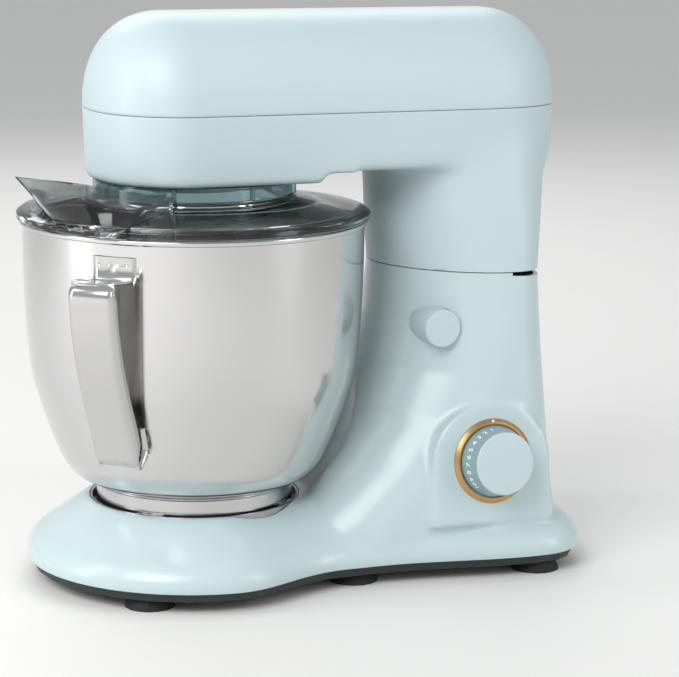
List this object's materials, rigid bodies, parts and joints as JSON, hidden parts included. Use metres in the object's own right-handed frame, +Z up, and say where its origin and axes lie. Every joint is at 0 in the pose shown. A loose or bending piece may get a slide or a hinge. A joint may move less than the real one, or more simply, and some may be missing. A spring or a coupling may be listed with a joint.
{
  "type": "stand mixer",
  "caption": "Tilt-head stand mixer with a steel bowl, flat beater on a planetary drive, clear splash guard with a pouring spout, speed knob and head release button.",
  "frame": {"origin": "on the table under the middle of the whole mixer, spout and cord gland included", "axes": "+Z up, +X from the bowl towards the hinge, -Y the side with the speed knob"},
  "size_m": [0.378, 0.22, 0.3544],
  "materials": {
    "black_plastic": "near-black moulded plastic",
    "board": "green circuit board",
    "brass": "plain brass",
    "cast_alloy": "die-cast alloy",
    "clear": "clear grey-tinted plastic",
    "clear_teal": "clear teal-tinted plastic",
    "copper": "enamelled copper winding",
    "dark_steel": "machined and zinc plated steel",
    "gold": "brushed gold-coloured ring",
    "nylon": "natural nylon",
    "rubber": "black rubber",
    "shell": "satin pale blue-green ABS",
    "steel": "mirror-polished stainless steel"
  },
  "bodies": {
    "rotor": {"armature": "copper", "commutator": "brass", "cooling_fan": "nylon", "motor_shaft": "dark_steel", "worm": "dark_steel"},
    "base": {"base_housing": "shell", "base_plate": "black_plastic", "base_screw_1": "dark_steel", "base_screw_2": "dark_steel", "base_screw_3": "dark_steel", "base_screw_4": "dark_steel", "bowl_seat": "dark_steel", "control_board": "board", "cord_gland": "rubber", "dial_ring": "gold", "hinge_bracket_lower": "dark_steel", "hinge_pin": "dark_steel", "latch_guide": "dark_steel", "speed_switch": "black_plastic", "suction_foot_1": "rubber", "suction_foot_2": "rubber", "suction_foot_3": "rubber", "suction_foot_4": "rubber", "suction_foot_5": "rubber", "suction_foot_6": "rubber"},
    "beater": {"beater_shaft": "steel", "flat_beater": "cast_alloy", "planet_gear": "dark_steel"},
    "bowl": {"bowl_foot_ring": "steel", "bowl_handle": "steel", "bowl_shell": "steel"},
    "head": {"brush_holder_far": "brass", "brush_holder_near": "brass", "drive_shaft_bearing": "dark_steel", "gearbox_case": "cast_alloy", "gearbox_cover": "cast_alloy", "head_lower_housing": "shell", "head_top_cover": "shell", "hinge_bracket_upper": "dark_steel", "latch_striker": "dark_steel", "motor_housing": "dark_steel", "motor_mount": "cast_alloy", "planet_ring_gear": "dark_steel", "stator_core": "cast_alloy"},
    "hub": {"drive_gear": "nylon", "drive_shaft": "dark_steel", "planetary_hub": "cast_alloy"},
    "guard": {"guard_collar": "clear_teal", "splash_guard": "clear"},
    "knob": {"knob_shaft": "dark_steel", "speed_knob": "shell"},
    "button": {"latch_bar": "dark_steel", "latch_spring": "steel", "release_button": "shell"},
    "reduction": {"layshaft": "dark_steel", "pinion": "dark_steel", "worm_wheel": "nylon"}
  },
  "joints": [
    {"name": "head_tilt", "type": "hinge", "parent": "base", "child": "head", "pos_m": [0.14998, 0, 0.1925], "axis": [0, 1, 0], "range_deg": [0, 32]},
    {"name": "bowl_twist", "type": "hinge", "parent": "base", "child": "bowl", "pos_m": [-0.06102, 0, 0.042], "axis": [0, 0, 1], "range_deg": [0, 20]},
    {"name": "guard_twist", "type": "hinge", "parent": "head", "child": "guard", "pos_m": [-0.06102, 0, 0.2405], "axis": [0, 0, 1], "range_deg": [0, 20]},
    {"name": "release_button_press", "type": "slide", "parent": "base", "child": "button", "axis": [0, 1, 0], "range_m": [0, 0.004], "stiffness_N_per_m": 400, "springref_m": -0.002, "deforming": ["latch_spring"]},
    {"name": "speed_knob_turn", "type": "hinge", "parent": "base", "child": "knob", "pos_m": [0.10978, -0.081, 0.0744], "axis": [0, -0.9936, 0.1132], "range_deg": [-230, 0]},
    {"name": "hub_spin", "type": "hinge", "parent": "head", "child": "hub", "pos_m": [-0.06102, 0, 0.25], "axis": [0, 0, 1], "continuous": true},
    {"name": "beater_spin", "type": "hinge", "parent": "hub", "child": "beater", "pos_m": [-0.08352, 0, 0.25], "axis": [0, 0, 1], "continuous": true},
    {"name": "reduction_spin", "type": "hinge", "parent": "head", "child": "reduction", "pos_m": [-0.03064, 0.029, 0.29], "axis": [0, 0, 1], "continuous": true},
    {"name": "motor_spin", "type": "hinge", "parent": "head", "child": "rotor", "pos_m": [0.00098, 0, 0.301], "axis": [1, 0, 0], "continuous": true}
  ],
  "couplings": [
    {"joint": "beater_spin", "follows": "hub_spin", "ratio": -3.5714},
    {"joint": "reduction_spin", "follows": "hub_spin", "ratio": -3.6667},
    {"joint": "motor_spin", "follows": "hub_spin", "ratio": 36.667}
  ]
}
